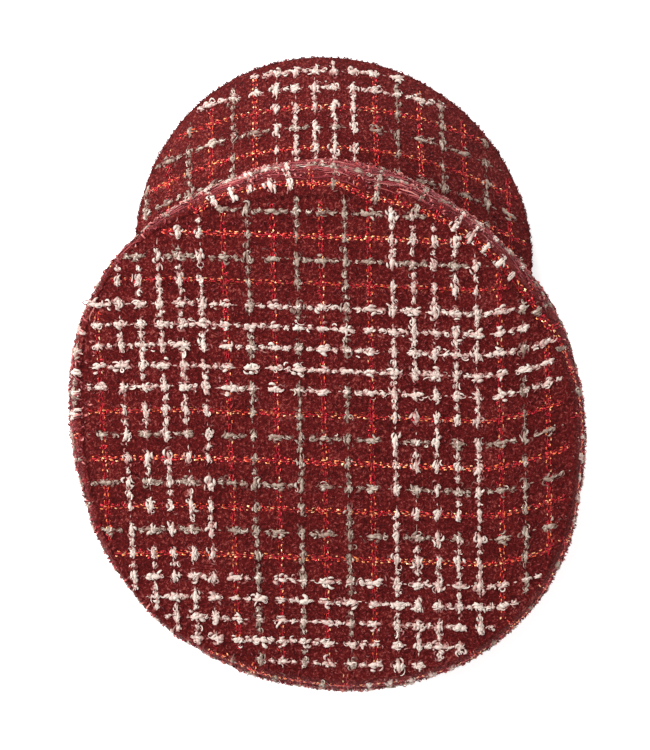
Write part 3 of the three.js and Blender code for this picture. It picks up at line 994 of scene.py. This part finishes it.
band = ring_of_cloth("head_band_cloth", band_surface, BAND_AROUND, BAND_ACROSS, BAND_ACROSS, BAND_WALL,
                     burgundy)
band_warp = check_threads(BAND_FIRST_WARP, -pi * BAND_RING, pi * BAND_RING)
band_weft = check_threads(BAND_FIRST_WEFT, 0, BAND_HEIGHT)
scatter = scattered(rng, (-pi * BAND_RING, 0), (pi * BAND_RING, BAND_HEIGHT), 450, band_inside)
band_yarns = dress("head_band", band_warp, band_weft, band_inside, band_lay, scatter,
                   lambda floats: np.full(len(floats), False), seed=51)
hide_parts("head_band")
for piece in [band, *band_yarns]:
    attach(piece, "root")

# Peak: a curved stiff board between two layers of the tweed, bent down at its sides.
# Its inner edge is sewn to the front of the band.
PEAK_RADIUS = 98
PEAK_WAVES = ((0, 1.8, 0.0), (1, -3.2, -1.25), (2, 2.0, 1.2), (3, -0.9, 0.8))
PEAK_ARC_FORWARD = 65
PEAK_ARC_HALF = radians(112)
PEAK_YAW = radians(-1.9)
PEAK_THICK = 4.4
PEAK_ROOT_RISE = 5
PEAK_TIP_HEIGHT = 6
PEAK_SIDE_HEIGHT = 1.8
PEAK_TOUCH_AT = 0.5
PEAK_CROWNING = 3
PEAK_EDGE_BULGE = 1.6
ROOT_GAP = 0.3
PEAK_ALONG = 150
PEAK_ACROSS = 32
PEAK_EDGE_STEPS = 6


def peak_surface(along, across):
    """Middle of the peak. along is -1 to 1 from end to end, across is 0 at the band and 1 at the edge."""
    root = band_point(PEAK_ROOT_HALF * along, BAND_WALL + ROOT_GAP, PEAK_ROOT_RISE)
    arc = PEAK_ARC_HALF * along
    radius = outline_radius(PEAK_RADIUS, PEAK_WAVES, arc)
    x = radius * np.sin(arc)
    y = -PEAK_ARC_FORWARD - radius * np.cos(arc)
    touch = np.minimum(1, np.abs(along) / PEAK_TOUCH_AT)
    past = np.clip((np.abs(along) - PEAK_TOUCH_AT) / (1 - PEAK_TOUCH_AT), 0, None)
    z = mix(mix(PEAK_TIP_HEIGHT, PEAK_SIDE_HEIGHT, touch ** 2), root[..., 2], past ** 2)
    rim = np.stack([x * cos(PEAK_YAW) - y * sin(PEAK_YAW), x * sin(PEAK_YAW) + y * cos(PEAK_YAW), z], -1)
    point = mix(root, rim, across[..., None])
    point[..., 2] += PEAK_CROWNING * 4 * across * (1 - across) * (1 - along ** 2)
    return point


across, along = np.meshgrid(np.linspace(0, 1, PEAK_ACROSS + 1), np.linspace(-1, 1, PEAK_ALONG + 1),
                            indexing="ij")
peak_middle = peak_surface(along, across)
peak_normal = surface_normals(peak_middle)
peak_normal *= np.sign(peak_normal[..., 2:3])
peak_normal[0] = (0, 0, 1)
edge_out = unit(peak_middle[-1] - peak_middle[-4])
edge_points = np.stack([
    peak_middle[-1] + peak_normal[-1] * PEAK_THICK / 2 * cos(turn) + edge_out * PEAK_EDGE_BULGE * sin(turn)
    for turn in np.linspace(0, pi, PEAK_EDGE_STEPS + 1)])
peak_over = peak_middle[:-1] + peak_normal[:-1] * PEAK_THICK / 2
peak_under = peak_middle[:-1] - peak_normal[:-1] * PEAK_THICK / 2
sheet_points = np.concatenate([peak_over, edge_points, peak_under[::-1]])
rows, columns = sheet_points.shape[:2]
peak_faces = [grid_faces(rows, columns)]
index = np.arange(rows * columns).reshape(rows, columns)
half_rows = PEAK_ACROSS + PEAK_EDGE_STEPS // 2
for column, flip in ((0, False), (columns - 1, True)):
    for row in range(half_rows):
        quad = index[[row, row + 1, rows - 2 - row, rows - 1 - row], column].tolist()
        if len(set(quad)) == 4:
            peak_faces.append(np.array([quad[::-1] if flip else quad]))
root_strip = np.stack([index[0, :-1], index[-1, :-1], index[-1, 1:], index[0, 1:]], -1)
peak_faces.append(root_strip)
peak = mesh_object("peak_cloth", sheet_points.reshape(-1, 3), np.concatenate(peak_faces), burgundy)
peak_over_tree, peak_under_tree, peak_tree = [
    BVHTree.FromPolygons([Vector(p) for p in side.reshape(-1, 3)], grid_faces(len(side), columns).tolist())
    for side in (peak_over, peak_under, sheet_points)]
PEAK_FIRST_WARP = -15.4
PEAK_FIRST_WEFT = -185.4
PEAK_WEFT_CURVE = 0.0023         # the weft curves back at the sides as the peak is bent over the forehead
PEAK_MIDDLE = 3.5
PEAK_CLEAR = 200                 # mm, far over or under the peak
PEAK_YARN_FROM = 0.4             # mm from the edge to the first crossing that shows


def peak_back(a, b):
    return b + PEAK_WEFT_CURVE * (a - PEAK_MIDDLE) ** 2


def drop_on(tree, up):
    """A lay function that drops places (across, along) straight on to a side of the peak.
    What misses it lands on the nearest place of its edge."""
    def lay(a, b):
        points = np.stack([a, peak_back(a, b), 0 * a], -1)
        normals = np.zeros_like(points)
        flat_points = points.reshape(-1, 3)
        flat_normals = normals.reshape(-1, 3)
        for i, p in enumerate(flat_points):
            hit, normal, _, _ = tree.ray_cast(Vector((p[0], p[1], PEAK_CLEAR * up)), Vector((0, 0, -up)))
            if hit is None:
                hit, normal, _, _ = peak_tree.find_nearest(Vector((p[0], p[1], PEAK_TIP_HEIGHT)))
            elif normal.z * up < 0:
                normal = -normal
            flat_points[i] = hit
            flat_normals[i] = normal
        return points, normals
    return lay


def peak_inside(tree, up):
    def inside(a, b):
        place = Vector((a, peak_back(a, b), PEAK_CLEAR * up))
        return all(tree.ray_cast(place + Vector(side) * PEAK_YARN_FROM, Vector((0, 0, -up)))[0] is not None
                   for side in ((1, 0, 0), (-1, 0, 0), (0, 1, 0), (0, -1, 0)))
    return inside


peak_warp = check_threads(PEAK_FIRST_WARP, -105, 105)
peak_weft = check_threads(PEAK_FIRST_WEFT, -190, -10)
peak_yarns = []
for name, tree, up, seed, count in (("peak_over", peak_over_tree, 1, 41, 3000),
                                    ("peak_under", peak_under_tree, -1, 43, 700)):
    inside = peak_inside(tree, up)
    scatter = scattered(rng, (-100, -185), (100, -20), count, inside)
    peak_yarns += dress(name, peak_warp, peak_weft, inside, drop_on(tree, up), scatter,
                        lambda floats, up=up: np.full(len(floats), up > 0), seed)
EDGE_LENGTH = 390                # mm along the peak's edge
EDGE_ROUND = 6.3                 # and over it, from the top cloth to the one under it


def edge_lay(a, b):
    """Points and normals on the rounded edge for places (along it from its middle, over it)."""
    column = np.clip((a / EDGE_LENGTH + 0.5) * (columns - 1), 0, columns - 1.001)
    row = np.clip(b / EDGE_ROUND * PEAK_EDGE_STEPS, 0, PEAK_EDGE_STEPS - 0.001)
    i, j = row.astype(int), column.astype(int)
    down, side = (row - i)[..., None], (column - j)[..., None]
    points = mix(mix(edge_points[i, j], edge_points[i, j + 1], side),
                 mix(edge_points[i + 1, j], edge_points[i + 1, j + 1], side), down)
    normal = points - mix(peak_middle[-1, j], peak_middle[-1, j + 1], side)
    return points, unit(normal)


EDGE_LOOPS = 1300
edge_places = rng.uniform((-EDGE_LENGTH / 2, 0), (EDGE_LENGTH / 2, EDGE_ROUND), (EDGE_LOOPS, 2))
edge_loops = ground_loops(rng, edge_places, edge_lay, radius=0.28, size=1.2, height=1.1)
peak_yarns.append(strand_object("peak_edge_fibre_ends", edge_loops, fuzz))
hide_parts("peak")
for piece in [peak, *peak_yarns]:
    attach(piece, "root")

# Floor, light and camera: a white floor lit a little from below, soft light from the left and the top of the
# picture, and the camera almost straight above the cap with the peak at the top of the picture.
floor_material, _ = new_material(
    "white acrylic light table, matt", Roughness=1.0, Base_Color=linear("#FFFFFF"),
    Emission_Color=linear("#FFFFFF"), Emission_Strength=0.35, Specular_IOR_Level=0.1)
FLOOR_HALF = 3.0                 # m
floor_mesh = bpy.data.meshes.new("floor")
floor_corners = [(x * FLOOR_HALF, y * FLOOR_HALF, 0) for x, y in ((-1, -1), (1, -1), (1, 1), (-1, 1))]
floor_mesh.from_pydata(floor_corners, [], [(0, 1, 2, 3)])
floor_mesh.materials.append(floor_material)
floor = bpy.data.objects.new("floor", floor_mesh)
bpy.context.scene.collection.objects.link(floor)

scene = bpy.context.scene
scene.view_settings.view_transform = "Standard"
world = bpy.data.worlds.new("studio")
world.use_nodes = True
world.node_tree.nodes["Background"].inputs["Color"].default_value = (1, 1, 1, 1)
world.node_tree.nodes["Background"].inputs["Strength"].default_value = 0.93
scene.world = world


def soft_light(name, place, aim, size, power):
    light = bpy.data.lights.new(name, "AREA")
    light.shape = "DISK"
    light.size = size
    light.energy = power
    obj = bpy.data.objects.new(name, light)
    obj.location = place
    obj.rotation_euler = (Vector(aim) - Vector(place)).to_track_quat("-Z", "Y").to_euler()
    scene.collection.objects.link(obj)


soft_light("key_left", (1.0, -0.2, 0.75), (0, 0, 0.05), 0.9, 15)
soft_light("front", (0.5, -1.1, 0.75), (0, -0.05, 0.03), 0.9, 11)

# The camera's place comes from how the photograph's shapes fit the cap: 88 degrees up, 1.04 m from its top.
CAMERA_ELEVATION = radians(88)
CAMERA_DISTANCE = 1040.0
CAMERA_ROLL = radians(1)
FOCAL_PIXELS = 2236.0
TARGET_PIXEL = (328.0, 425.0)
PICTURE_WIDTH, PICTURE_HEIGHT = 650, 750
SENSOR = 36.0
target = Vector((0.0, CROWN_BACK_SHIFT, CROWN_MIDDLE_HEIGHT)) + Vector(BAND_MIDDLE)
back = Vector((0, cos(CAMERA_ELEVATION), sin(CAMERA_ELEVATION)))
right = Vector((-1, 0, 0))
above = Vector((0, -sin(CAMERA_ELEVATION), cos(CAMERA_ELEVATION)))
rolled_right = right * cos(CAMERA_ROLL) - above * sin(CAMERA_ROLL)
rolled_above = above * cos(CAMERA_ROLL) + right * sin(CAMERA_ROLL)
place = target + back * CAMERA_DISTANCE
view = (back * -FOCAL_PIXELS + rolled_right * (PICTURE_WIDTH / 2 - TARGET_PIXEL[0])
        - rolled_above * (PICTURE_HEIGHT / 2 - TARGET_PIXEL[1])).normalized()
camera_right = view.cross(rolled_above).normalized()
camera_above = camera_right.cross(view).normalized()
camera_data = bpy.data.cameras.new("camera")
camera_data.sensor_width = SENSOR
camera_data.lens = FOCAL_PIXELS * SENSOR / max(PICTURE_WIDTH, PICTURE_HEIGHT)
camera = bpy.data.objects.new("camera", camera_data)
turned = Matrix((camera_right, camera_above, -view)).transposed().to_4x4()
camera.matrix_world = Matrix.Translation(place * MM) @ turned
scene.collection.objects.link(camera)
scene.camera = camera
